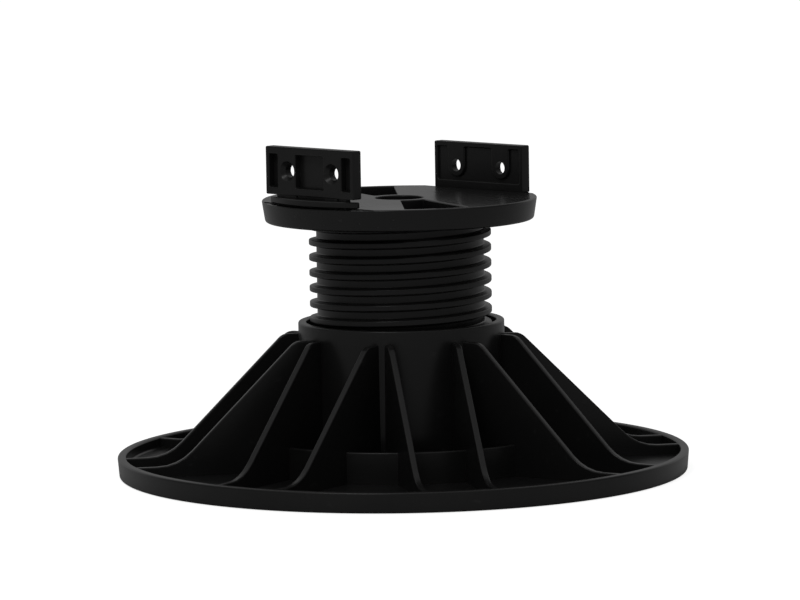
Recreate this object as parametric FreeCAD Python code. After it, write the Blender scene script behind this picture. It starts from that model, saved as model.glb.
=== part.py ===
"""Adjustable deck pedestal: ribbed base, screw post, swivel head plate and two joist brackets.

Millimetres, +Z up, origin on the ground at the centre of the base. A joist lies along Y between
the brackets, which stand at -X and +X.
"""
import FreeCAD, Part
import math
import os

# Base moulding
base_radius = 100.0
rim_height = 7.0
rim_wall = 3.0
rim_draft = 0.6
floor_thickness = 3.0
tube_radius = 36.0
tube_top = 53.0
mouth_depth = 4.0
nut_bottom = 20.0

# Ribs of the base, in parallel pairs
rib_pairs = 8
rib_first_angle = 11.5
rib_pair_spacing = 23.4
rib_thickness = 2.2
rib_top = 48.3
rib_shoulder = 40.0
rib_foot_height = 6.6
rib_slope = 45.0
rib_shoulder_round = 5.0
rib_foot_round = 17.0
tie_ring_radius = 56.0
tie_ring_wall = 2.0
tie_ring_top = 14.0

# Screw thread, cut on the post and in the base
thread_pitch = 5.4
thread_root_radius = 29.2
thread_crest_radius = 31.8
thread_root_width = 2.8
thread_crest_width = 1.9
thread_height_at_x = 30.2
thread_radial_clearance = 0.5
thread_side_clearance = 0.35
thread_sink = 0.5
nut_land_inset = 2.0
relief_clearance = 1.4

# Post
post_bottom = 34.0
post_bore = 25.5
spigot_radius = 26.0
spigot_wall = 2.5
spigot_lip = 0.8
spigot_lip_height = 1.0

# Head plate
head_radius = 48.0
head_bottom_radius = 46.8
head_top = 95.8
head_height = 7.7
head_skin = 3.2
head_rim_wall = 2.6
head_bottom_round = 1.0
head_hole_radius = 8.5
hub_radius = 11.5
hub_depth = 2.6
socket_wall = 3.4
socket_ridge_height = 2.0
swivel_clearance = 0.3
window_first_edge = 227.5
window_last_edge = 250.5
window_last_offset = 4.2
window_margin = 0.2
under_ribs = 6
under_rib_first_angle = 30.0
under_rib_thickness = 1.8

# Joist brackets
joist_gap = 79.0
plate_length = 43.0
plate_thickness = 4.0
plate_height = 16.6
plate_edge_round = 0.5
bracket_seat_depth = 0.3
bracket_seat_clearance = 0.2
screw_spacing = 21.6
screw_hole_radius = 2.25
countersink_radius = 4.0
countersink_depth = 1.7
outer_recess_depth = 1.6
outer_recess_margin = 2.6
outer_end_recess_width = 3.6
outer_end_recess_inset = 1.7
outer_mid_recess_width = 13.6
inner_recess_depth = 1.2
inner_recess_side = 1.6
inner_recess_top = 1.8
inner_recess_bottom = 3.0
pad_half_width = 4.2
peg_spacing = 20.0
peg_length_y = 6.0
peg_thickness = 3.0
peg_clearance = 0.3
peg_barb = 0.8
peg_barb_height = 2.0
catch_step = 3.7
catch_lip = 1.0
tongue_length = 34.0
tongue_thickness = 2.0
tongue_grip = 0.5

# Worked out from the sizes above
up = FreeCAD.Vector(0, 0, 1)
rim_inner_radius = base_radius - rim_wall
nut_minor_radius = thread_root_radius + thread_radial_clearance
nut_major_radius = thread_crest_radius + thread_radial_clearance
relief_radius = thread_crest_radius + relief_clearance
head_bottom = head_top - head_height
skin_bottom = head_top - head_skin
post_shoulder = head_bottom
inner_face = joist_gap / 2
outer_face = inner_face + plate_thickness
plate_bottom = head_top - bracket_seat_depth
plate_mid_height = plate_bottom + plate_height / 2
plate_middle = (inner_face + outer_face) / 2
tongue_bottom = plate_bottom - catch_step - tongue_grip


def vec(x, y, z=0.0):
    return FreeCAD.Vector(x, y, z)


def turn(shape, degrees):
    """A copy of the shape, turned about the upright axis."""
    copy = shape.copy()
    copy.rotate(vec(0, 0), up, degrees)
    return copy


def revolve(points):
    """Revolves a closed outline of (radius, height) points about the upright axis."""
    corners = [vec(radius, 0, height) for radius, height in points]
    outline = Part.makePolygon(corners + corners[:1])
    return Part.Face(outline).revolve(vec(0, 0), up, 360)


def pipe(outer, inner, bottom, top):
    """A plain ring with the given radii between two heights."""
    return revolve([(inner, bottom), (outer, bottom), (outer, top), (inner, top)])


def box(x0, x1, y0, y1, z0, z1):
    return Part.makeBox(x1 - x0, y1 - y0, z1 - z0, vec(x0, y0, z0))


def helix_ridge(root_radius, crest_radius, root_width, crest_width, phase, bottom, top):
    """A right-hand helical ridge between two heights, from its root to its crest.

    The root sinks into the wall that carries it. The phase is the height of the ridge's middle at +X.
    """
    turns_below = math.ceil((phase - bottom) / thread_pitch) + 1
    start = phase - turns_below * thread_pitch
    length = top + thread_pitch - start
    path = Part.Wire(Part.makeHelix(thread_pitch, length, root_radius))
    outward = math.copysign(1, crest_radius - root_radius)
    flank = (root_width - crest_width) / 2 / abs(crest_radius - root_radius)
    sunk_radius = root_radius - outward * thread_sink
    sunk_half = root_width / 2 + thread_sink * flank
    corners = [
        vec(sunk_radius, 0, -sunk_half),
        vec(crest_radius, 0, -crest_width / 2),
        vec(crest_radius, 0, crest_width / 2),
        vec(sunk_radius, 0, sunk_half),
    ]
    section = Part.makePolygon(corners + corners[:1])
    ridge = path.makePipeShell([section], True, True)
    ridge.translate(vec(0, 0, start))
    return ridge.common(Part.makeCylinder(tube_radius, top - bottom, vec(0, 0, bottom)))


def rounded_corner(before, corner, after, radius):
    """Both ends and the middle of the arc that rounds a corner of an outline."""
    to_before = (before - corner).normalize()
    to_after = (after - corner).normalize()
    half = to_before.getAngle(to_after) / 2
    first = corner + to_before * (radius / math.tan(half))
    last = corner + to_after * (radius / math.tan(half))
    inward = (to_before + to_after).normalize()
    middle = corner + inward * (radius / math.sin(half) - radius)
    return first, middle, last


def base_rib():
    """One rib along X at y = 0: level at the tube, down at a slope, then level again to the rim."""
    wall_middle = (tube_radius + relief_radius) / 2
    half_spacing = rib_pair_spacing / 2
    root = math.sqrt(wall_middle ** 2 - half_spacing ** 2)
    end = math.sqrt((base_radius - rim_wall / 2) ** 2 - half_spacing ** 2)
    foot = rib_shoulder + (rib_top - rib_foot_height) / math.tan(math.radians(rib_slope))
    start_top = vec(root, 0, rib_top)
    shoulder = vec(rib_shoulder, 0, rib_top)
    toe = vec(foot, 0, rib_foot_height)
    end_top = vec(end, 0, rib_foot_height)
    s1, s2, s3 = rounded_corner(start_top, shoulder, toe, rib_shoulder_round)
    t1, t2, t3 = rounded_corner(shoulder, toe, end_top, rib_foot_round)
    under = floor_thickness / 2
    edges = [
        Part.makeLine(start_top, s1),
        Part.Arc(s1, s2, s3).toShape(),
        Part.makeLine(s3, t1),
        Part.Arc(t1, t2, t3).toShape(),
        Part.makeLine(t3, end_top),
        Part.makeLine(end_top, vec(end, 0, under)),
        Part.makeLine(vec(end, 0, under), vec(root, 0, under)),
        Part.makeLine(vec(root, 0, under), start_top),
    ]
    rib = Part.Face(Part.Wire(edges)).extrude(vec(0, rib_thickness, 0))
    rib.translate(vec(0, -rib_thickness / 2))
    return rib


def nut_tube():
    """The base's tube with its inside thread: a right-hand ridge that runs between the post's ridges."""
    land_top = tube_top - mouth_depth
    tube = revolve([
        (relief_radius, 0),
        (tube_radius, 0),
        (tube_radius, tube_top),
        (relief_radius, tube_top),
        (relief_radius, land_top),
        (nut_major_radius, land_top - (relief_radius - nut_major_radius)),
        (nut_major_radius, nut_bottom + (relief_radius - nut_major_radius)),
        (relief_radius, nut_bottom),
    ])
    ridge = helix_ridge(
        nut_major_radius,
        nut_minor_radius,
        thread_pitch - thread_crest_width - 2 * thread_side_clearance,
        thread_pitch - thread_root_width - 2 * thread_side_clearance,
        thread_height_at_x + thread_pitch / 2,
        nut_bottom + nut_land_inset,
        land_top - nut_land_inset,
    )
    return tube.fuse(ridge)


def make_base():
    """Tray, threaded tube, paired ribs and a low ring that ties the ribs."""
    tray = revolve([
        (tube_radius - floor_thickness / 2, 0),
        (base_radius - rim_draft, 0),
        (base_radius, rim_height),
        (rim_inner_radius, rim_height),
        (rim_inner_radius, floor_thickness),
        (tube_radius - floor_thickness / 2, floor_thickness),
    ])
    tie_ring = pipe(tie_ring_radius, tie_ring_radius - tie_ring_wall, floor_thickness / 2, tie_ring_top)
    ribs = []
    for pair in range(rib_pairs):
        for side in (-1, 1):
            rib = base_rib()
            rib.translate(vec(0, side * rib_pair_spacing / 2))
            ribs.append(turn(rib, rib_first_angle + pair * 360 / rib_pairs))
    return nut_tube().multiFuse([tray, tie_ring] + ribs).removeSplitter()


def make_post():
    """Hollow post with an outside thread and a lipped spigot on which the head plate turns."""
    spigot_top = skin_bottom - swivel_clearance
    lip_radius = spigot_radius + spigot_lip
    taper_top = post_shoulder - spigot_wall
    taper_bottom = taper_top - spigot_wall
    core = revolve([
        (post_bore, post_bottom),
        (thread_root_radius, post_bottom),
        (thread_root_radius, post_shoulder),
        (spigot_radius, post_shoulder),
        (spigot_radius, spigot_top - spigot_lip_height),
        (lip_radius, spigot_top - spigot_lip_height),
        (lip_radius, spigot_top - spigot_lip_height / 2),
        (lip_radius - spigot_lip_height / 2, spigot_top),
        (spigot_radius - spigot_wall, spigot_top),
        (spigot_radius - spigot_wall, taper_top),
        (post_bore, taper_bottom),
    ])
    ridge = helix_ridge(
        thread_root_radius,
        thread_crest_radius,
        thread_root_width,
        thread_crest_width,
        thread_height_at_x,
        post_bottom,
        post_shoulder,
    )
    return core.fuse(ridge).removeSplitter()


def edge_point(angle, offset, radius):
    """The point at a radius on a line along an angle, moved sideways by an offset."""
    along = math.sqrt(radius ** 2 - offset ** 2)
    c = math.cos(math.radians(angle))
    s = math.sin(math.radians(angle))
    return vec(along * c - offset * s, along * s + offset * c)


def arc_between(first, last):
    """An arc about the upright axis between two points of one radius."""
    radius = first.Length
    middle = (first + last).normalize() * radius
    return Part.Arc(first, middle, last).toShape()


def head_window():
    """A window through the head's skin, between the hub and the rim."""
    outer = head_radius - head_rim_wall - window_margin
    a = edge_point(window_first_edge, 0, hub_radius)
    b = edge_point(window_first_edge, 0, outer)
    c = edge_point(window_last_edge, window_last_offset, outer)
    d = edge_point(window_last_edge, window_last_offset, hub_radius)
    edges = [Part.makeLine(a, b), arc_between(b, c), Part.makeLine(c, d), arc_between(d, a)]
    window = Part.Face(Part.Wire(edges)).extrude(up * head_height)
    window.translate(up * (head_top - head_height))
    return window


def peg_centres():
    """The places of one bracket's two pegs, for the bracket at +X."""
    return [vec(plate_middle, side * peg_spacing / 2) for side in (-1, 1)]


def tongue(clearance):
    """The tongue under the plate at +X, which still grips the head one catch up, or its slot."""
    half_x = tongue_thickness / 2 + clearance
    half_y = tongue_length / 2 + clearance
    bottom = tongue_bottom - clearance
    return box(plate_middle - half_x, plate_middle + half_x, -half_y, half_y, bottom, head_top)


def make_head_plate():
    """Skin with a rim, a hub, two windows, seats and slots for the brackets and a socket for the post."""
    socket_inner = spigot_radius + spigot_lip + swivel_clearance
    socket_outer = socket_inner + socket_wall
    ridge_inner = spigot_radius + swivel_clearance
    socket_bottom = post_shoulder + swivel_clearance
    ridge_top = socket_bottom + socket_ridge_height
    inside_low = head_bottom_radius - head_rim_wall
    inside_high = head_radius - head_rim_wall
    plate = revolve([
        (head_hole_radius, skin_bottom - hub_depth),
        (hub_radius, skin_bottom - hub_depth),
        (hub_radius, skin_bottom),
        (socket_inner, skin_bottom),
        (socket_inner, ridge_top),
        (ridge_inner, ridge_top),
        (ridge_inner, socket_bottom),
        (socket_outer, socket_bottom),
        (socket_outer, skin_bottom),
        (inside_high, skin_bottom),
        (inside_low, head_bottom),
        (head_bottom_radius - head_bottom_round, head_bottom),
        (head_bottom_radius, head_bottom + head_bottom_round),
        (head_radius, head_top),
        (head_hole_radius, head_top),
    ])
    rib_start = (socket_inner + socket_outer) / 2
    rib_end = inside_low + head_rim_wall / 2
    ribs = []
    for count in range(under_ribs):
        half = under_rib_thickness / 2
        rib = box(rib_start, rib_end, -half, half, socket_bottom, skin_bottom + head_skin / 2)
        ribs.append(turn(rib, under_rib_first_angle + count * 360 / under_ribs))
    plate = plate.multiFuse(ribs)
    seat_edge = inner_face - bracket_seat_clearance
    seat = box(seat_edge, head_radius, -head_radius, head_radius, plate_bottom, head_top)
    tongue_slot = tongue(peg_clearance)
    cuts = [head_window(), turn(head_window(), 180), seat, turn(seat, 180), tongue_slot, turn(tongue_slot, 180)]
    for centre in peg_centres():
        half_x = peg_thickness / 2 + peg_clearance
        half_y = peg_length_y / 2 + peg_clearance
        start = centre.y - half_y
        end = centre.y + half_y
        slot = box(centre.x - half_x, centre.x + half_x, start, end, head_bottom, head_top)
        barb_room = box(centre.x - half_x - peg_barb, centre.x, start, end, skin_bottom + catch_lip, head_top)
        cuts += [slot, turn(slot, 180), barb_room, turn(barb_room, 180)]
    return plate.cut(Part.makeCompound(cuts)).removeSplitter()


def screw_hole(y):
    """A screw hole through the bracket plate, countersunk from the outer face."""
    along = vec(1, 0)
    hole = Part.makeCylinder(screw_hole_radius, plate_thickness, vec(inner_face, y, plate_mid_height), along)
    start = vec(outer_face - countersink_depth, y, plate_mid_height)
    sink = Part.makeCone(screw_hole_radius, countersink_radius, countersink_depth, start, along)
    return hole.fuse(sink)


def inner_panel():
    """The shallow panel in the inner face, which leaves a pad round each screw hole."""
    half = plate_length / 2 - inner_recess_side
    top = plate_bottom + plate_height - inner_recess_top
    bottom = plate_bottom + inner_recess_bottom
    depth = inner_face + inner_recess_depth
    panel = box(inner_face, depth, -half, half, bottom, top)
    for side in (-1, 1):
        y = side * screw_spacing / 2
        tongue = box(inner_face, depth, y - pad_half_width, y + pad_half_width, plate_mid_height, top)
        end = Part.makeCylinder(pad_half_width, inner_recess_depth, vec(inner_face, y, plate_mid_height), vec(1, 0))
        panel = panel.cut(tongue).cut(end)
    return panel


def outer_panels():
    """The upright recesses in the outer face: one at each end and a wide one in the middle."""
    bottom = plate_bottom + outer_recess_margin
    top = plate_bottom + plate_height - outer_recess_margin
    start = outer_face - outer_recess_depth
    half_mid = outer_mid_recess_width / 2
    end = plate_length / 2 - outer_end_recess_inset
    return [
        box(start, outer_face, -half_mid, half_mid, bottom, top),
        box(start, outer_face, end - outer_end_recess_width, end, bottom, top),
        box(start, outer_face, -end, outer_end_recess_width - end, bottom, top),
    ]


def bracket_peg(centre):
    """A peg under the plate, with two barbs that catch below the slot's lip, one for each height."""
    start = centre.y - peg_length_y / 2
    inner = centre.x - peg_thickness / 2
    outer = centre.x + peg_thickness / 2
    corners = [vec(outer, start, plate_bottom), vec(inner, start, plate_bottom)]
    for barb_top in (skin_bottom - peg_clearance, skin_bottom - peg_clearance - catch_step):
        corners.append(vec(inner, start, barb_top))
        corners.append(vec(inner - peg_barb, start, barb_top))
        corners.append(vec(inner, start, barb_top - peg_barb_height))
    corners.append(vec(outer, start, corners[-1].z))
    return Part.Face(Part.makePolygon(corners + corners[:1])).extrude(vec(0, peg_length_y))


def make_bracket():
    """The bracket at +X, pressed home: an upright plate on the head's seat, with a tongue and two pegs."""
    half = plate_length / 2
    plate = box(inner_face, outer_face, -half, half, plate_bottom, plate_bottom + plate_height)
    upright = [edge for edge in plate.Edges if abs(edge.tangentAt(edge.FirstParameter).z) > 0.5]
    plate = plate.makeFillet(plate_edge_round, upright)
    for cut in outer_panels() + [inner_panel()] + [screw_hole(s * screw_spacing / 2) for s in (-1, 1)]:
        plate = plate.cut(cut)
    pegs = [bracket_peg(centre) for centre in peg_centres()]
    return plate.multiFuse(pegs + [tongue(0.0)]).removeSplitter()


def save(shape, name):
    solids = shape.Solids
    result = solids[0] if len(solids) == 1 else Part.makeCompound(solids)
    result.exportStep(os.path.join("parts", name + ".step"))


os.makedirs("parts", exist_ok=True)
right_bracket = make_bracket()
left_bracket = turn(right_bracket, 180)
left_bracket.translate(up * catch_step)
save(make_base(), "base")
save(make_post(), "threaded_post")
save(make_head_plate(), "head_plate")
save(left_bracket, "joist_bracket_left")
save(right_bracket, "joist_bracket_right")
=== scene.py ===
import math

import bmesh
import bpy
from mathutils import Matrix, Vector


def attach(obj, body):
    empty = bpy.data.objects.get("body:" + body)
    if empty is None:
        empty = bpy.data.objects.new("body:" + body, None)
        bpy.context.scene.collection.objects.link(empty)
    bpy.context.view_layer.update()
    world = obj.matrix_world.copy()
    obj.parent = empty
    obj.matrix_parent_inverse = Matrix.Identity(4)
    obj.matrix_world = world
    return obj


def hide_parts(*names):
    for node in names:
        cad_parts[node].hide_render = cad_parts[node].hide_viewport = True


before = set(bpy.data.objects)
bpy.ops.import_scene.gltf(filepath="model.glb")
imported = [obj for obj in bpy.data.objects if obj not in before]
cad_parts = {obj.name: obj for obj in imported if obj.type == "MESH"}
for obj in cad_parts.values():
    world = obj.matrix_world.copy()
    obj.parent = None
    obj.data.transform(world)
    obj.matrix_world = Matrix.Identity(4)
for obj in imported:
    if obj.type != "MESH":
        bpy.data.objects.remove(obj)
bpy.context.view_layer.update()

# Base
# The real piece is one injection moulding of black polypropylene: a round tray with a drafted rim, a tube
# with an inside thread, eight pairs of ribs and a low ring that ties them. It stands loose on the ground.
MM = 0.001
BASE_RADIUS = 100.0
RIM_HEIGHT = 7.0
RIM_WALL = 3.0
RIM_DRAFT = 0.6
RIM_ROUND = 0.7
TRAY_FLOOR = 3.0
TUBE_RADIUS = 36.0
TUBE_TOP = 53.0
TUBE_BORE = 33.2
NUT_RADIUS = 32.3
NUT_LOW = 20.0
NUT_HIGH = 49.0
NUT_MINOR = 29.7
NUT_RIDGE_LOW = 23.0
NUT_RIDGE_HIGH = 46.0
NUT_RIDGE_SINK = 0.5
NUT_RIDGE_BEVEL = 0.2
NUT_RIDGE_STEPS = 400
PITCH = 5.4
ROOT_HALF = 1.4
CREST_HALF = 0.95
THREAD_HEIGHT_AT_X = 30.2
RIB_PAIRS = 8
RIB_FIRST_ANGLE = 11.5
RIB_PAIR_SPACING = 23.4
RIB_HALF = 1.1
RIB_DRAFT = 0.006
RIB_EDGE_ROUND = 0.5
RIB_TOP = 48.3
RIB_SHOULDER = 40.0
RIB_SHOULDER_ROUND = 5.0
RIB_FOOT_HEIGHT = 6.6
RIB_TOE_ROUND = 17.0
TIE_RING_RADIUS = 56.0
TIE_RING_WALL = 2.0
TIE_RING_TOP = 14.0
TIE_RING_ROUND = 0.5
ROUND_STEPS = 4
SPIN_STEPS = 192
BLACK_TONE = 0.013
PATCH_SCALE = 38.0
PATCH_SHIFT = (0.37, 0.61, 0.19)
DARK_PATCH = (0.86, 0.86, 0.88)
LIGHT_PATCH = (1.18, 1.17, 1.15)
SCUFF_STRETCH = (35.0, 420.0, 420.0)
SCUFF_TINT = (1.9, 1.9, 1.9)
SCUFF_DULLING = 0.12
SATIN = 0.3
SATIN_SPREAD = 0.06
GRAIN_SCALE = 2600.0
GRAIN_DEPTH = 0.00008
GRAIN_STRENGTH = 0.08
SHARP_ANGLE = math.radians(40)


def rounded(points):
    """Outline with rounded corners, from points that are each (x, y, corner radius)."""
    outline = []
    for i, (x, y, radius) in enumerate(points):
        corner = Vector((x, y))
        if radius == 0:
            outline.append(corner)
            continue
        before = (Vector(points[i - 1][:2]) - corner).normalized()
        after = (Vector(points[(i + 1) % len(points)][:2]) - corner).normalized()
        half = before.angle(after) / 2
        centre = corner + (before + after).normalized() * (radius / math.sin(half))
        start = corner + before * (radius / math.tan(half)) - centre
        stop = corner + after * (radius / math.tan(half)) - centre
        first = math.atan2(start.y, start.x)
        sweep = (math.atan2(stop.y, stop.x) - first + math.pi) % (2 * math.pi) - math.pi
        for step in range(ROUND_STEPS + 1):
            angle = first + sweep * step / ROUND_STEPS
            outline.append(centre + Vector((math.cos(angle), math.sin(angle))) * radius)
    return outline


def spin(outline):
    """Skin of a closed (radius, height) outline turned about the upright axis."""
    bm = bmesh.new()
    rings = []
    for j in range(SPIN_STEPS):
        angle = 2 * math.pi * j / SPIN_STEPS
        rings.append([bm.verts.new((r * math.cos(angle), r * math.sin(angle), z)) for r, z in outline])
    for j in range(SPIN_STEPS):
        for i in range(len(outline)):
            bm.faces.new((rings[j - 1][i - 1], rings[j][i - 1], rings[j][i], rings[j - 1][i]))
    return bm


def loft(sections):
    """Closed skin through a row of sections, which are rings with the same number of points."""
    bm = bmesh.new()
    rings = [[bm.verts.new(point) for point in section] for section in sections]
    for low, high in zip(rings, rings[1:]):
        for i in range(len(low)):
            bm.faces.new((low[i - 1], low[i], high[i], high[i - 1]))
    bm.faces.new(rings[0])
    bm.faces.new(rings[-1])
    return bm


def solid(name, bm):
    """An object in metres from a closed skin in millimetres."""
    bmesh.ops.recalc_face_normals(bm, faces=bm.faces)
    bmesh.ops.scale(bm, vec=(MM, MM, MM), verts=bm.verts)
    mesh = bpy.data.meshes.new(name)
    bm.to_mesh(mesh)
    bm.free()
    obj = bpy.data.objects.new(name, mesh)
    bpy.context.scene.collection.objects.link(obj)
    return obj


def combine(target, others, operation):
    """Joins other solids to the target or cuts them from it, and deletes them."""
    group = bpy.data.collections.new("operands")
    for other in others:
        group.objects.link(other)
    modifier = target.modifiers.new("combine", "BOOLEAN")
    modifier.operation = operation
    modifier.operand_type = "COLLECTION"
    modifier.collection = group
    modifier.solver = "EXACT"
    evaluated = target.evaluated_get(bpy.context.evaluated_depsgraph_get())
    plain = target.data
    result = bpy.data.meshes.new_from_object(evaluated)
    target.modifiers.clear()
    target.data = result
    bpy.data.meshes.remove(plain)
    for other in others:
        bpy.data.meshes.remove(other.data)
    bpy.data.collections.remove(group)


def nut_ridge():
    """The tube's inside thread: a right-hand ridge, sunk into the wall, between the post's ridges."""
    root = NUT_RADIUS + NUT_RIDGE_SINK
    bevel = NUT_MINOR + NUT_RIDGE_BEVEL
    corners = [
        (root, -ROOT_HALF),
        (bevel, -CREST_HALF),
        (NUT_MINOR, NUT_RIDGE_BEVEL - CREST_HALF),
        (NUT_MINOR, CREST_HALF - NUT_RIDGE_BEVEL),
        (bevel, CREST_HALF),
        (root, ROOT_HALF),
    ]
    middle_at_x = THREAD_HEIGHT_AT_X + PITCH / 2
    sections = []
    for step in range(NUT_RIDGE_STEPS + 1):
        height = NUT_RIDGE_LOW + (NUT_RIDGE_HIGH - NUT_RIDGE_LOW) * step / NUT_RIDGE_STEPS
        angle = 2 * math.pi * (height - middle_at_x) / PITCH
        around = Vector((math.cos(angle), math.sin(angle), 0))
        sections.append([around * r + Vector((0, 0, height + z)) for r, z in corners])
    return solid("nut_ridge", loft(sections))


def base_rib(angle, side):
    """One rib: its edge is rounded along the whole outline, and its sides are drafted."""
    offset = side * RIB_PAIR_SPACING / 2
    start = math.sqrt(((TUBE_RADIUS + TUBE_BORE) / 2) ** 2 - offset ** 2)
    end = math.sqrt((BASE_RADIUS - RIM_WALL / 2) ** 2 - offset ** 2)
    toe = RIB_SHOULDER + RIB_TOP - RIB_FOOT_HEIGHT
    edge = rounded([
        (start, RIB_TOP, 0),
        (RIB_SHOULDER, RIB_TOP, RIB_SHOULDER_ROUND),
        (toe, RIB_FOOT_HEIGHT, RIB_TOE_ROUND),
        (end, RIB_FOOT_HEIGHT, 0),
    ])
    quarter = [math.pi / 2 * step / ROUND_STEPS for step in range(ROUND_STEPS + 1)]
    across = [RIB_HALF - RIB_EDGE_ROUND * (1 - math.cos(a)) for a in quarter]
    depth = [RIB_EDGE_ROUND * (1 - math.sin(a)) for a in quarter]
    under = TRAY_FLOOR / 2
    turned = Matrix.Rotation(angle, 3, "Z")
    sections = []
    for i, point in enumerate(edge):
        along = (edge[min(i + 1, len(edge) - 1)] - edge[max(i - 1, 0)]).normalized()
        down = Vector((along.y, -along.x))
        half = [(Vector((point.x, under)), RIB_HALF + RIB_DRAFT * (point.y - under))]
        half += [(point + down * d, a) for a, d in zip(across, depth)]
        section = [Vector((p.x, offset - a, p.y)) for p, a in half]
        section += [Vector((p.x, offset + a, p.y)) for p, a in reversed(half)]
        sections.append([turned @ p for p in section])
    return solid("rib", loft(sections))


def tinted(tone, tint):
    """A colour from a grey tone and what it is multiplied by in red, green and blue."""
    return tuple(tone * part for part in tint) + (1,)


def moulded_black(name, seed, tone=BLACK_TONE, gloss=SATIN):
    """Satin black polypropylene: uneven tone and gloss, fine mould grain and a few faint scuffs."""
    mat = bpy.data.materials.new(name)
    mat.use_nodes = True
    nodes = mat.node_tree.nodes
    links = mat.node_tree.links
    shader = nodes["Principled BSDF"]
    shader.inputs["IOR"].default_value = 1.49
    shader.inputs["Specular IOR Level"].default_value = 0.32
    place = nodes.new("ShaderNodeTexCoord")
    shift = nodes.new("ShaderNodeMapping")
    shift.inputs["Location"].default_value = [seed * part for part in PATCH_SHIFT]
    links.new(place.outputs["Object"], shift.inputs["Vector"])

    # Soft patches of tone, as in a cooled moulding
    patches = nodes.new("ShaderNodeTexNoise")
    patches.inputs["Scale"].default_value = PATCH_SCALE
    patches.inputs["Detail"].default_value = 5.0
    links.new(shift.outputs["Vector"], patches.inputs["Vector"])
    colour = nodes.new("ShaderNodeValToRGB")
    colour.color_ramp.elements[0].position = 0.3
    colour.color_ramp.elements[0].color = tinted(tone, DARK_PATCH)
    colour.color_ramp.elements[1].position = 0.75
    colour.color_ramp.elements[1].color = tinted(tone, LIGHT_PATCH)
    links.new(patches.outputs["Fac"], colour.inputs["Fac"])

    # Thin pale scuffs from handling
    streak = nodes.new("ShaderNodeMapping")
    streak.inputs["Rotation"].default_value = (0.4, 0.3, 0.7 + seed)
    streak.inputs["Scale"].default_value = SCUFF_STRETCH
    links.new(shift.outputs["Vector"], streak.inputs["Vector"])
    rubbed = nodes.new("ShaderNodeTexNoise")
    rubbed.inputs["Scale"].default_value = 1.0
    rubbed.inputs["Detail"].default_value = 3.0
    links.new(streak.outputs["Vector"], rubbed.inputs["Vector"])
    scuffs = nodes.new("ShaderNodeMapRange")
    scuffs.inputs["From Min"].default_value = 0.66
    scuffs.inputs["From Max"].default_value = 0.78
    links.new(rubbed.outputs["Fac"], scuffs.inputs["Value"])
    scuffed = nodes.new("ShaderNodeMix")
    scuffed.data_type = "RGBA"
    scuffed.inputs["B"].default_value = tinted(tone, SCUFF_TINT)
    links.new(scuffs.outputs["Result"], scuffed.inputs["Factor"])
    links.new(colour.outputs["Color"], scuffed.inputs["A"])
    links.new(scuffed.outputs["Result"], shader.inputs["Base Color"])

    # Gloss that follows the patches and is duller on the scuffs
    sheen = nodes.new("ShaderNodeMapRange")
    sheen.inputs["To Min"].default_value = gloss - SATIN_SPREAD
    sheen.inputs["To Max"].default_value = gloss + SATIN_SPREAD
    links.new(patches.outputs["Fac"], sheen.inputs["Value"])
    dulled = nodes.new("ShaderNodeMath")
    dulled.operation = "MULTIPLY_ADD"
    dulled.inputs[1].default_value = SCUFF_DULLING
    links.new(scuffs.outputs["Result"], dulled.inputs[0])
    links.new(sheen.outputs["Result"], dulled.inputs[2])
    links.new(dulled.outputs["Value"], shader.inputs["Roughness"])

    # Fine grain of the mould
    grain = nodes.new("ShaderNodeTexNoise")
    grain.inputs["Scale"].default_value = GRAIN_SCALE
    grain.inputs["Detail"].default_value = 2.0
    links.new(shift.outputs["Vector"], grain.inputs["Vector"])
    bump = nodes.new("ShaderNodeBump")
    bump.inputs["Strength"].default_value = GRAIN_STRENGTH
    bump.inputs["Distance"].default_value = GRAIN_DEPTH
    links.new(grain.outputs["Fac"], bump.inputs["Height"])
    links.new(bump.outputs["Normal"], shader.inputs["Normal"])
    return mat


def dress(obj, node, body, material):
    """Gives a piece its shading, its finish and its place in the frame."""
    obj.name = node + "_visual"
    obj.data.materials.clear()
    obj.data.materials.append(material)
    obj.data.shade_smooth()
    obj.data.set_sharp_from_angle(angle=SHARP_ANGLE)
    weights = obj.modifiers.new("normals", "WEIGHTED_NORMAL")
    weights.keep_sharp = True
    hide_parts(node)
    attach(obj, body)


base = solid("base_visual", spin(rounded([
    (TUBE_BORE, 0, 0),
    (BASE_RADIUS - RIM_DRAFT, 0, 0.5),
    (BASE_RADIUS, RIM_HEIGHT, RIM_ROUND),
    (BASE_RADIUS - RIM_WALL, RIM_HEIGHT, RIM_ROUND),
    (BASE_RADIUS - RIM_WALL, TRAY_FLOOR, 0.9),
    (TUBE_RADIUS, TRAY_FLOOR, 1.2),
    (TUBE_RADIUS, TUBE_TOP, 0.6),
    (TUBE_BORE, TUBE_TOP, 0.5),
    (TUBE_BORE, NUT_HIGH, 0),
    (NUT_RADIUS, NUT_HIGH - TUBE_BORE + NUT_RADIUS, 0),
    (NUT_RADIUS, NUT_LOW + TUBE_BORE - NUT_RADIUS, 0),
    (TUBE_BORE, NUT_LOW, 0),
])))
tie_ring = solid("tie_ring", spin(rounded([
    (TIE_RING_RADIUS - TIE_RING_WALL, TRAY_FLOOR / 2, 0),
    (TIE_RING_RADIUS, TRAY_FLOOR / 2, 0),
    (TIE_RING_RADIUS, TIE_RING_TOP, TIE_RING_ROUND),
    (TIE_RING_RADIUS - TIE_RING_WALL, TIE_RING_TOP, TIE_RING_ROUND),
])))
ribs = []
for pair in range(RIB_PAIRS):
    for side in (-1, 1):
        ribs.append(base_rib(math.radians(RIB_FIRST_ANGLE + pair * 360 / RIB_PAIRS), side))
combine(base, [tie_ring, nut_ridge()] + ribs, "UNION")
dress(base, "base", "base", moulded_black("base_black", 1))

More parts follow.
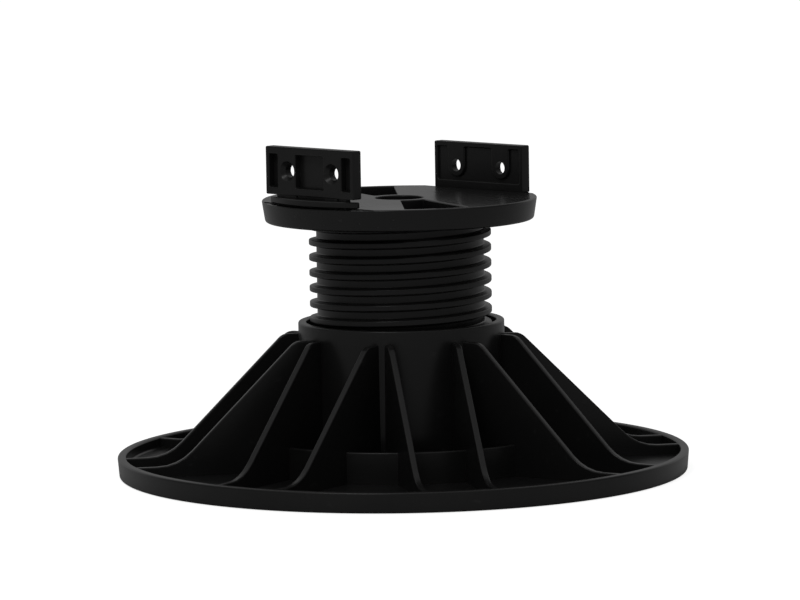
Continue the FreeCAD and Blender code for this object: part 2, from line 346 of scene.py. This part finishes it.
# Post
# A hollow black polypropylene screw with a coarse right-hand thread. It turns in the base's tube, and its
# lipped spigot snaps into the head plate.
POST_TONE = 0.012
POST_BOTTOM = 34.0
POST_SHOULDER = 88.1
POST_BORE = 25.5
NECK_LOW = 5.0
NECK_HIGH = 2.5
ROOT_RADIUS = 29.2
CREST_RADIUS = 31.8
CREST_ROUND = 0.4
ROOT_ROUND = 0.5
SPIGOT_RADIUS = 26.0
SPIGOT_BORE = 23.5
SPIGOT_TOP = 92.3
SPIGOT_LIP = 0.8
SPIGOT_LIP_HEIGHT = 1.0
SPIGOT_BEVEL = 0.5
THREAD_STEPS = 120
SPARE_TURNS = 4
CUT_MERGE = 1e-5


def thread_profile():
    """One pitch of the thread as (height, radius), from the middle of one gap to that of the next."""
    outline = rounded([
        (-PITCH / 2, ROOT_RADIUS, 0),
        (-ROOT_HALF, ROOT_RADIUS, ROOT_ROUND),
        (-CREST_HALF, CREST_RADIUS, CREST_ROUND),
        (CREST_HALF, CREST_RADIUS, CREST_ROUND),
        (ROOT_HALF, ROOT_RADIUS, ROOT_ROUND),
        (PITCH / 2, ROOT_RADIUS, 0),
    ])
    return [(p.x, p.y) for p in outline[:-1]]


def screw_skin(profile):
    """Open skin that follows the profile round a right-hand helix, longer than the post at both ends."""
    bm = bmesh.new()
    phase = THREAD_HEIGHT_AT_X - PITCH
    turns = range(-1, int((POST_SHOULDER - POST_BOTTOM) / PITCH) + SPARE_TURNS)
    rows = [(height + turn * PITCH + phase, r) for turn in turns for height, r in profile]
    columns = []
    for j in range(THREAD_STEPS):
        angle = 2 * math.pi * j / THREAD_STEPS
        rise = PITCH * j / THREAD_STEPS
        points = [(r * math.cos(angle), r * math.sin(angle), z + rise) for z, r in rows]
        columns.append([bm.verts.new(point) for point in points])
    for j in range(THREAD_STEPS):
        shift = len(profile) if j == THREAD_STEPS - 1 else 0
        right = columns[(j + 1) % THREAD_STEPS]
        for i in range(len(rows) - 1 - shift):
            bm.faces.new((columns[j][i], right[i + shift], right[i + 1 + shift], columns[j][i + 1]))
    return bm


def make_post():
    """The threaded skin, cut square at both ends and closed by the bore and the spigot."""
    bm = screw_skin(thread_profile())
    rims = []
    for height, facing in ((POST_BOTTOM, -1), (POST_SHOULDER, 1)):
        cut = bmesh.ops.bisect_plane(
            bm,
            geom=bm.verts[:] + bm.edges[:] + bm.faces[:],
            dist=CUT_MERGE,
            plane_co=(0, 0, height),
            plane_no=(0, 0, facing),
            clear_outer=True)
        rims.append([g for g in cut["geom_cut"] if isinstance(g, bmesh.types.BMEdge)])
    lip_radius = SPIGOT_RADIUS + SPIGOT_LIP
    inside = [
        (POST_BORE, POST_BOTTOM),
        (POST_BORE, POST_SHOULDER - NECK_LOW),
        (SPIGOT_BORE, POST_SHOULDER - NECK_HIGH),
        (SPIGOT_BORE, SPIGOT_TOP),
        (lip_radius - SPIGOT_BEVEL, SPIGOT_TOP),
        (lip_radius, SPIGOT_TOP - SPIGOT_BEVEL),
        (lip_radius, SPIGOT_TOP - SPIGOT_LIP_HEIGHT),
        (SPIGOT_RADIUS, SPIGOT_TOP - SPIGOT_LIP_HEIGHT),
        (SPIGOT_RADIUS, POST_SHOULDER),
    ]
    angles = [2 * math.pi * j / THREAD_STEPS for j in range(THREAD_STEPS)]
    rings = []
    for r, z in inside:
        rings.append([bm.verts.new((r * math.cos(a), r * math.sin(a), z)) for a in angles])
    for low, high in zip(rings, rings[1:]):
        for j in range(THREAD_STEPS):
            bm.faces.new((low[j - 1], low[j], high[j], high[j - 1]))
    for rim, ring in zip(rims, (rings[0], rings[-1])):
        inner = [bm.edges.get((ring[j - 1], ring[j])) for j in range(THREAD_STEPS)]
        bmesh.ops.triangle_fill(bm, edges=rim + inner, use_beauty=True)
    return solid("post", bm)


dress(make_post(), "threaded_post", "post", moulded_black("post_black", 2, tone=POST_TONE))

# Head plate
# A black polypropylene disc with a drafted skirt, a centre hole, two windows and ribs underneath. It snaps
# onto the post's spigot and turns on it. At each side it has a seat, a pocket and slots for a bracket.
HEAD_TONE = 0.0125
HEAD_SATIN = 0.25
HEAD_RADIUS = 48.0
HEAD_BOTTOM_RADIUS = 46.8
HEAD_TOP = 95.8
HEAD_BOTTOM = 88.1
SKIN = 3.2
HEAD_RIM_WALL = 2.6
HEAD_HOLE = 8.5
HUB_RADIUS = 11.5
HUB_DEPTH = 2.6
SOCKET_RADIUS = 27.1
SOCKET_WALL = 3.4
SOCKET_LOW = 88.4
SOCKET_RIDGE_RADIUS = 26.3
SOCKET_RIDGE_TOP = 90.4
UNDER_RIBS = 6
UNDER_RIB_FIRST_ANGLE = 30
UNDER_RIB_HALF = 0.9
UNDER_RIB_ROUND = 0.2
WINDOW_FIRST_EDGE = 227.5
WINDOW_LAST_EDGE = 250.5
WINDOW_LAST_OFFSET = 4.2
WINDOW_OUTER = 45.2
WINDOW_CORNER = 0.5
WINDOW_OUTER_STEPS = 10
WINDOW_INNER_STEPS = 4
WINDOW_CUT = 12.0
SEAT_DEPTH = 0.3
SEAT_EDGE = 39.3
PEG_MIDDLE = 41.5
PEG_HALF_SPACING = 10.0
PEG_HALF_LENGTH = 3.0
PEG_HALF = 1.5
PEG_BARB = 0.8
PEG_CLEARANCE = 0.3
CATCH_STEP = 3.7
CATCH_LIP = 1.0
TONGUE_HALF_LENGTH = 17.0
TONGUE_HALF = 1.0
TONGUE_GRIP = 0.5
FOOT_RADIUS = 46.6
FOOT_HALF_LENGTH = 21.3
FOOT_LOW = 92.4
FOOT_HIGH = 94.6
FOOT_STEPS = 12
EDGE_ROUND = 0.5
EDGE_CURVE = ((1.0, 0.0), (0.42, 0.18), (0.1, 0.58))
EDGE_MOUTH = 1.1
EDGE_MOUTH_PAST = 0.02
MITRE_LIMIT = 0.5
CUT_PAST = 1.0
CUTS_APART = 0.01


def polar(radius, angle):
    """A point at a radius and an angle from the axis."""
    return Vector((math.cos(angle), math.sin(angle))) * radius


def rectangle(x0, x1, y0, y1, corner=0.0):
    """An anticlockwise rectangle with rounded corners."""
    return rounded([(x0, y0, corner), (x1, y0, corner), (x1, y1, corner), (x0, y1, corner)])


def widened(outline, distance):
    """An anticlockwise outline, moved outwards square to its edges."""
    moved = []
    for i, point in enumerate(outline):
        into = (point - outline[i - 1]).normalized()
        out_of = (outline[(i + 1) % len(outline)] - point).normalized()
        along = (into + out_of).normalized()
        mitre = distance / max(MITRE_LIMIT, along.dot(into))
        moved.append(point + Vector((along.y, -along.x)) * mitre)
    return moved


def prism(outline, levels, place):
    """Closed skin through copies of an outline, one for each level of (height, offset)."""
    sections = []
    for height, offset in levels:
        sections.append([place(u, v, height) for u, v in widened(outline, offset)])
    return loft(sections)


def as_drawn(u, v, h):
    """Leaves a point where it is, at the side of the right bracket."""
    return (u, v, h)


def half_turned(u, v, h):
    """Takes a point half round the axis, to the side of the left bracket."""
    return (-u, -v, h)


def flare(surface, inward, depth):
    """Levels of a cutter that leaves a rounded edge where it meets a surface."""
    levels = [(surface - inward * depth, 0.0)]
    levels += [(surface - inward * EDGE_ROUND * down, EDGE_ROUND * out) for down, out in EDGE_CURVE]
    levels += [(surface + inward * past, EDGE_ROUND * EDGE_MOUTH) for past in (EDGE_MOUTH_PAST, CUT_PAST)]
    return levels


def window_outline():
    """The window's outline: two straight sides between the hub and the rim."""
    corners = []
    for edge, offset in ((WINDOW_FIRST_EDGE, 0.0), (WINDOW_LAST_EDGE, WINDOW_LAST_OFFSET)):
        for radius in (HUB_RADIUS, WINDOW_OUTER):
            corners.append(math.radians(edge) + math.asin(offset / radius))
    inner_first, outer_first, inner_last, outer_last = corners
    arcs = (
        (WINDOW_OUTER, outer_first, outer_last, WINDOW_OUTER_STEPS),
        (HUB_RADIUS, inner_last, inner_first, WINDOW_INNER_STEPS),
    )
    outline = []
    for radius, first, last, steps in arcs:
        for step in range(steps + 1):
            point = polar(radius, first + (last - first) * step / steps)
            outline.append((point.x, point.y, WINDOW_CORNER if step in (0, steps) else 0))
    return rounded(outline)


skin_bottom = HEAD_TOP - SKIN
socket_outer = SOCKET_RADIUS + SOCKET_WALL
head = solid("head", spin(rounded([
    (HEAD_HOLE, skin_bottom - HUB_DEPTH, 0.3),
    (HUB_RADIUS, skin_bottom - HUB_DEPTH, 0.3),
    (HUB_RADIUS, skin_bottom, 0.4),
    (SOCKET_RADIUS, skin_bottom, 0),
    (SOCKET_RADIUS, SOCKET_RIDGE_TOP, 0),
    (SOCKET_RIDGE_RADIUS, SOCKET_RIDGE_TOP, 0),
    (SOCKET_RIDGE_RADIUS, SOCKET_LOW, 0.2),
    (socket_outer, SOCKET_LOW, 0.4),
    (socket_outer, skin_bottom, 0.5),
    (HEAD_RADIUS - HEAD_RIM_WALL, skin_bottom, 0.5),
    (HEAD_BOTTOM_RADIUS - HEAD_RIM_WALL, HEAD_BOTTOM, 0.3),
    (HEAD_BOTTOM_RADIUS, HEAD_BOTTOM, 1.0),
    (HEAD_RADIUS, HEAD_TOP, 0.6),
    (HEAD_HOLE, HEAD_TOP, EDGE_ROUND),
])))
under_rib_outline = rectangle(
    socket_outer - SOCKET_WALL / 2,
    HEAD_BOTTOM_RADIUS - HEAD_RIM_WALL / 2,
    -UNDER_RIB_HALF,
    UNDER_RIB_HALF)
under_rib_levels = [
    (SOCKET_LOW, -UNDER_RIB_ROUND),
    (SOCKET_LOW + UNDER_RIB_ROUND, 0),
    (skin_bottom + SKIN / 2, 0),
]
under_ribs = []
for count in range(UNDER_RIBS):
    turned = Matrix.Rotation(math.radians(UNDER_RIB_FIRST_ANGLE + count * 360 / UNDER_RIBS), 3, "Z")
    rib = prism(under_rib_outline, under_rib_levels, lambda u, v, h: turned @ Vector((u, v, h)))
    under_ribs.append(solid("under_rib", rib))
combine(head, under_ribs, "UNION")

tongue_bottom = HEAD_TOP - SEAT_DEPTH - CATCH_STEP - TONGUE_GRIP
tongue_inner = PEG_MIDDLE - TONGUE_HALF
tongue_outline = rectangle(
    tongue_inner, PEG_MIDDLE + TONGUE_HALF, -TONGUE_HALF_LENGTH, TONGUE_HALF_LENGTH)
foot_end = math.asin(FOOT_HALF_LENGTH / FOOT_RADIUS)
foot_outline = [Vector((tongue_inner, FOOT_HALF_LENGTH)), Vector((tongue_inner, -FOOT_HALF_LENGTH))]
for step in range(-FOOT_STEPS, FOOT_STEPS + 1):
    foot_outline.append(polar(FOOT_RADIUS, foot_end * step / FOOT_STEPS))
slot_inner = PEG_MIDDLE - PEG_HALF - PEG_CLEARANCE
slot_outer = PEG_MIDDLE + PEG_HALF + PEG_CLEARANCE
slot_top = HEAD_TOP + CUT_PAST / 2
seat_box = rectangle(SEAT_EDGE, HEAD_RADIUS + 2 * CUT_PAST, -HEAD_RADIUS, HEAD_RADIUS)
tongue_slot = widened(tongue_outline, PEG_CLEARANCE)
foot_pocket = widened(foot_outline, PEG_CLEARANCE)
rooms = [
    ("window", window_outline(), flare(HEAD_TOP, 1, WINDOW_CUT)),
    ("seat", seat_box, [(HEAD_TOP - SEAT_DEPTH, 0), (HEAD_TOP + CUT_PAST, 0)]),
    ("tongue_slot", tongue_slot, [(tongue_bottom - PEG_CLEARANCE, 0), (slot_top, 0)]),
    ("foot_pocket", foot_pocket, [(FOOT_LOW - PEG_CLEARANCE, 0), (slot_top, 0)]),
]
for y in (-PEG_HALF_SPACING, PEG_HALF_SPACING):
    start = y - PEG_HALF_LENGTH - PEG_CLEARANCE
    end = y + PEG_HALF_LENGTH + PEG_CLEARANCE
    slot_box = rectangle(slot_inner, slot_outer, start, end)
    barb_box = rectangle(slot_inner - PEG_BARB, PEG_MIDDLE, start + CUTS_APART, end - CUTS_APART)
    rooms.append(("slot", slot_box, [(HEAD_BOTTOM - CUT_PAST, 0), (slot_top, 0)]))
    rooms.append(("barb_room", barb_box, [(skin_bottom + CATCH_LIP, 0), (slot_top, 0)]))
cutters = []
for place in (as_drawn, half_turned):
    for name, outline, levels in rooms:
        cutters.append(solid(name, prism(outline, levels, place)))
combine(head, cutters, "DIFFERENCE")
dress(head, "head_plate", "head", moulded_black("head_black", 3, tone=HEAD_TONE, gloss=HEAD_SATIN))

# Joist brackets
# Two equal black polypropylene plates with two countersunk screw holes, upright recesses outside and a
# sunk panel inside. A tongue, a foot and two barbed pegs clip each one into the head: the right one is
# pressed home, and the left one stands one catch higher.
INNER_FACE = 39.5
PLATE_THICKNESS = 4.0
PLATE_HALF = 21.5
PLATE_HEIGHT = 16.6
PLATE_CORNER = 0.5
PLATE_ROUND = 0.4
PLATE_ROUND_MIDDLE = 0.3
CLIP_ROOT = 1.0
BARB_HEIGHT = 2.0
PEG_ROUND = 0.2
FOOT_ROUND = 0.3
SCREW_HALF_SPACING = 10.8
SCREW_HOLE = 2.25
SCREW_HOLE_STEPS = 40
COUNTERSINK = 3.5
COUNTERSINK_DEPTH = 1.4
PAD_HALF = 4.2
PAD_STEPS = 12
PAD_CORNER = 0.4
OUTER_RECESS = 2.4
OUTER_RECESS_MARGIN = 2.6
OUTER_RECESS_CORNER = 0.4
OUTER_RECESS_SPANS = ((-19.8, -15.6), (-6.8, 6.8), (15.6, 19.8))
INNER_RECESS = 0.9
INNER_RECESS_SIDE = 1.6
INNER_RECESS_TOP = 1.8
INNER_RECESS_BOTTOM = 3.0
INNER_RECESS_CORNER = 0.5
BRACKETS = (
    ("joist_bracket_left", -1, CATCH_STEP, 4),
    ("joist_bracket_right", 1, 0.0, 5),
)
outer_face = INNER_FACE + PLATE_THICKNESS
plate_bottom = HEAD_TOP - SEAT_DEPTH
plate_top = plate_bottom + PLATE_HEIGHT
screw_height = plate_bottom + PLATE_HEIGHT / 2


def inner_panel():
    """The sunk panel's outline in (y, z), which runs round a pad at each screw hole."""
    half = PLATE_HALF - INNER_RECESS_SIDE
    top = plate_top - INNER_RECESS_TOP
    bottom = plate_bottom + INNER_RECESS_BOTTOM
    outline = [(y, z, INNER_RECESS_CORNER) for y, z in ((-half, bottom), (half, bottom), (half, top))]
    for y in (SCREW_HALF_SPACING, -SCREW_HALF_SPACING):
        outline.append((y + PAD_HALF, top, PAD_CORNER))
        for step in range(PAD_STEPS + 1):
            angle = math.pi * step / PAD_STEPS
            outline.append((y + PAD_HALF * math.cos(angle), screw_height - PAD_HALF * math.sin(angle), 0))
        outline.append((y - PAD_HALF, top, PAD_CORNER))
    outline.append((-half, top, INNER_RECESS_CORNER))
    return rounded(outline)


def peg_outline():
    """A peg's outline in (x, z), with a barb for each of the bracket's two heights."""
    inner = PEG_MIDDLE - PEG_HALF
    outer = PEG_MIDDLE + PEG_HALF
    root = plate_bottom + CLIP_ROOT
    outline = [(outer, root), (inner, root)]
    for barb_top in (skin_bottom - PEG_CLEARANCE, skin_bottom - PEG_CLEARANCE - CATCH_STEP):
        outline += [(inner, barb_top), (inner - PEG_BARB, barb_top), (inner, barb_top - BARB_HEIGHT)]
    outline.append((outer, barb_top - BARB_HEIGHT))
    return [Vector(point) for point in outline]


def bevelled(low, high, bevel):
    """Levels of a prism whose two ends are bevelled."""
    return [(low, -bevel), (low + bevel, 0), (high - bevel, 0), (high, -bevel)]


def make_bracket(name, facing, lift):
    """One bracket: facing is 1 for the one at +X and -1 for its copy, turned half round."""
    def upright(u, v, h):
        return (facing * h, facing * u, v + lift)

    def sideways(u, v, h):
        return (facing * u, facing * h, v + lift)

    def flat(u, v, h):
        return (facing * u, facing * v, h + lift)

    part_round = PLATE_ROUND_MIDDLE * PLATE_ROUND
    plate_levels = [
        (INNER_FACE, -PLATE_ROUND),
        (INNER_FACE + part_round, -part_round),
        (INNER_FACE + PLATE_ROUND, 0),
        (outer_face - PLATE_ROUND, 0),
        (outer_face - part_round, -part_round),
        (outer_face, -PLATE_ROUND),
    ]
    plate_outline = rectangle(-PLATE_HALF, PLATE_HALF, plate_bottom, plate_top, PLATE_CORNER)
    bracket = solid(name, prism(plate_outline, plate_levels, upright))
    tongue_levels = [(tongue_bottom, 0), (plate_bottom + CLIP_ROOT, 0)]
    clips = [
        solid("tongue", prism(tongue_outline, tongue_levels, flat)),
        solid("foot", prism(foot_outline, bevelled(FOOT_LOW, FOOT_HIGH, FOOT_ROUND), flat)),
    ]
    for y in (-PEG_HALF_SPACING, PEG_HALF_SPACING):
        levels = bevelled(y - PEG_HALF_LENGTH, y + PEG_HALF_LENGTH, PEG_ROUND)
        clips.append(solid("peg", prism(peg_outline(), levels, sideways)))
    combine(bracket, clips, "UNION")

    low = plate_bottom + OUTER_RECESS_MARGIN
    high = plate_top - OUTER_RECESS_MARGIN
    hollows = []
    for y0, y1 in OUTER_RECESS_SPANS:
        outline = rectangle(y0, y1, low, high, OUTER_RECESS_CORNER)
        hollows.append(solid("recess", prism(outline, flare(outer_face, 1, OUTER_RECESS), upright)))
    hollows.append(solid("panel", prism(inner_panel(), flare(INNER_FACE, -1, INNER_RECESS), upright)))
    sink = COUNTERSINK - SCREW_HOLE
    screw_levels = [
        (INNER_FACE - CUT_PAST, 0),
        (outer_face - COUNTERSINK_DEPTH, 0),
        (outer_face, sink),
        (outer_face + CUT_PAST, sink),
    ]
    for y in (-SCREW_HALF_SPACING, SCREW_HALF_SPACING):
        middle = Vector((y, screw_height))
        angles = [2 * math.pi * step / SCREW_HOLE_STEPS for step in range(SCREW_HOLE_STEPS)]
        circle = [polar(SCREW_HOLE, angle) + middle for angle in angles]
        hollows.append(solid("screw_hole", prism(circle, screw_levels, upright)))
    combine(bracket, hollows, "DIFFERENCE")
    return bracket


for node, facing, lift, seed in BRACKETS:
    dress(make_bracket(node, facing, lift), node, "head", moulded_black(node + "_black", seed))

# Studio
# A white seamless floor, a room that is bright behind the object and above it and dim on the camera's side,
# one soft lamp high in front, and the camera at the photograph's angle.
CAMERA_DISTANCE = 1.688
CAMERA_HEIGHT = 0.2495
CAMERA_PITCH = 0.1119
CAMERA_ROLL = -0.0158
CAMERA_AZIMUTH = math.radians(-45)
CAMERA_REACH = 50.0
FOCAL_PIXELS = 4865.0
PICTURE_WIDTH = 800
SENSOR_WIDTH = 36.0
AXIS_PIXEL_OFFSET = 0.9
FLOOR_HALF = 30.0
FLOOR_DROP = 0.0002
FLOOR_GREY = 0.65
FLOOR_LIFT = 0.84
BACK_GREYS = ((-1.0, 0.22), (-0.2, 0.11), (0.3, 0.08), (0.75, 0.5), (0.98, 0.27))
TOP_GREYS = ((0.2, 0.0), (0.9, 0.42))
LAMP_FROM = (-0.9, -0.3, 1.29)
LAMP_SIZE = 0.4
LAMP_WATTS = 2.4
up = Vector((0, 0, 1))
camera = bpy.data.objects.new("camera", bpy.data.cameras.new("camera"))
bpy.context.scene.collection.objects.link(camera)
camera.data.sensor_width = SENSOR_WIDTH
camera.data.lens = FOCAL_PIXELS / PICTURE_WIDTH * SENSOR_WIDTH
camera.data.shift_x = -AXIS_PIXEL_OFFSET / PICTURE_WIDTH
camera.data.clip_end = CAMERA_REACH
away = Vector((-math.sin(CAMERA_AZIMUTH), math.cos(CAMERA_AZIMUTH), 0))
right = Vector((math.cos(CAMERA_AZIMUTH), math.sin(CAMERA_AZIMUTH), 0))
forward = away * math.cos(CAMERA_PITCH) - up * math.sin(CAMERA_PITCH)
upward = away * math.sin(CAMERA_PITCH) + up * math.cos(CAMERA_PITCH)
right_rolled = right * math.cos(CAMERA_ROLL) + upward * math.sin(CAMERA_ROLL)
up_rolled = upward * math.cos(CAMERA_ROLL) - right * math.sin(CAMERA_ROLL)
camera_place = Matrix((right_rolled, up_rolled, -forward)).transposed().to_4x4()
camera_place.translation = -away * CAMERA_DISTANCE + up * CAMERA_HEIGHT
camera.matrix_world = camera_place
bpy.context.scene.camera = camera

floor_mesh = bmesh.new()
bmesh.ops.create_grid(floor_mesh, x_segments=1, y_segments=1, size=FLOOR_HALF)
floor = bpy.data.objects.new("floor", bpy.data.meshes.new("floor"))
floor_mesh.to_mesh(floor.data)
floor_mesh.free()
bpy.context.scene.collection.objects.link(floor)
floor.location.z = -FLOOR_DROP
paint = bpy.data.materials.new("floor_white")
paint.use_nodes = True
brush = paint.node_tree.nodes
join = paint.node_tree.links
chalk = brush["Principled BSDF"]
chalk.inputs["Base Color"].default_value = (FLOOR_GREY, FLOOR_GREY, FLOOR_GREY, 1)
chalk.inputs["Roughness"].default_value = 1.0
chalk.inputs["Specular IOR Level"].default_value = 0.0
chalk.inputs["Emission Color"].default_value = (1, 1, 1, 1)
seen = brush.new("ShaderNodeLightPath")
lift_white = brush.new("ShaderNodeMath")
lift_white.operation = "MULTIPLY"
lift_white.inputs[1].default_value = FLOOR_LIFT
join.new(seen.outputs["Is Camera Ray"], lift_white.inputs[0])
join.new(lift_white.outputs["Value"], chalk.inputs["Emission Strength"])
floor.data.materials.append(paint)

lamp = bpy.data.objects.new("lamp", bpy.data.lights.new("lamp", "AREA"))
lamp.data.size = LAMP_SIZE
lamp.data.energy = LAMP_WATTS
lamp.location = LAMP_FROM
lamp.rotation_euler = Vector(LAMP_FROM).to_track_quat("Z", "Y").to_euler()
bpy.context.scene.collection.objects.link(lamp)

world = bpy.data.worlds.new("studio")
bpy.context.scene.world = world
world.use_nodes = True
sky = world.node_tree.nodes
wire = world.node_tree.links


def brightness(axis, steps):
    """Grey of the room by direction: steps are (cosine with the axis, grey)."""
    direction = sky.new("ShaderNodeTexCoord")
    cosine = sky.new("ShaderNodeVectorMath")
    cosine.operation = "DOT_PRODUCT"
    cosine.inputs[1].default_value = axis
    wire.new(direction.outputs["Generated"], cosine.inputs[0])
    spread = sky.new("ShaderNodeMapRange")
    spread.inputs["From Min"].default_value = -1.0
    wire.new(cosine.outputs["Value"], spread.inputs["Value"])
    ramp = sky.new("ShaderNodeValToRGB")
    while len(ramp.color_ramp.elements) < len(steps):
        ramp.color_ramp.elements.new(0.5)
    for element, (value, grey) in zip(ramp.color_ramp.elements, steps):
        element.position = (value + 1) / 2
        element.color = (grey, grey, grey, 1)
    wire.new(spread.outputs["Result"], ramp.inputs["Fac"])
    return ramp.outputs["Color"]


both = sky.new("ShaderNodeMix")
both.data_type = "RGBA"
both.blend_type = "LIGHTEN"
both.inputs["Factor"].default_value = 1.0
wire.new(brightness(away, BACK_GREYS), both.inputs["A"])
wire.new(brightness(up, TOP_GREYS), both.inputs["B"])
wire.new(both.outputs["Result"], sky["Background"].inputs["Color"])
white = sky.new("ShaderNodeBackground")
white.inputs["Color"].default_value = (1, 1, 1, 1)
path = sky.new("ShaderNodeLightPath")
choose = sky.new("ShaderNodeMixShader")
wire.new(path.outputs["Is Camera Ray"], choose.inputs["Fac"])
wire.new(sky["Background"].outputs["Background"], choose.inputs[1])
wire.new(white.outputs["Background"], choose.inputs[2])
wire.new(choose.outputs["Shader"], sky["World Output"].inputs["Surface"])

bpy.context.scene.view_settings.view_transform = "Standard"
